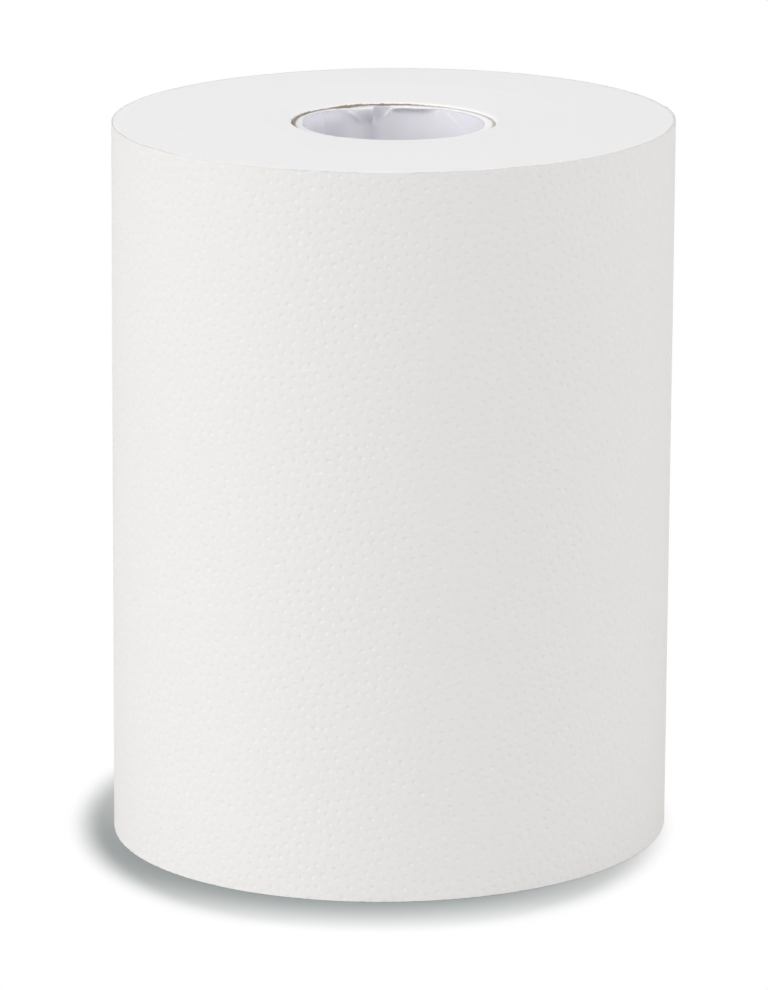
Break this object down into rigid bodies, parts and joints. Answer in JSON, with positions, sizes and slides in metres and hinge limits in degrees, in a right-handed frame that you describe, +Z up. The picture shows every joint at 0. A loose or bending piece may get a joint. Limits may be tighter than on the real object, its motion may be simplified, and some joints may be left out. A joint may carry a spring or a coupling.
{
  "type": "paper towel roll",
  "caption": "Upright roll of white embossed paper towel wound on a white-lined cardboard core, with a slightly oval winding and a dented core rim.",
  "frame": {"origin": "centre of the bottom end, on the surface that the roll stands on", "axes": "+Z up along the roll's axis, +Y away from the picture's viewer, +X to the viewer's right"},
  "size_m": [0.1544, 0.1542, 0.2],
  "materials": {
    "towel_paper": "matt, embossed with small dots",
    "kraft_board": "matt brown board",
    "white_board": "smooth white board"
  },
  "bodies": {
    "root": {"towel_roll": "towel_paper", "core_outer_ply": "kraft_board", "core_liner": "white_board"}
  },
  "joints": []
}
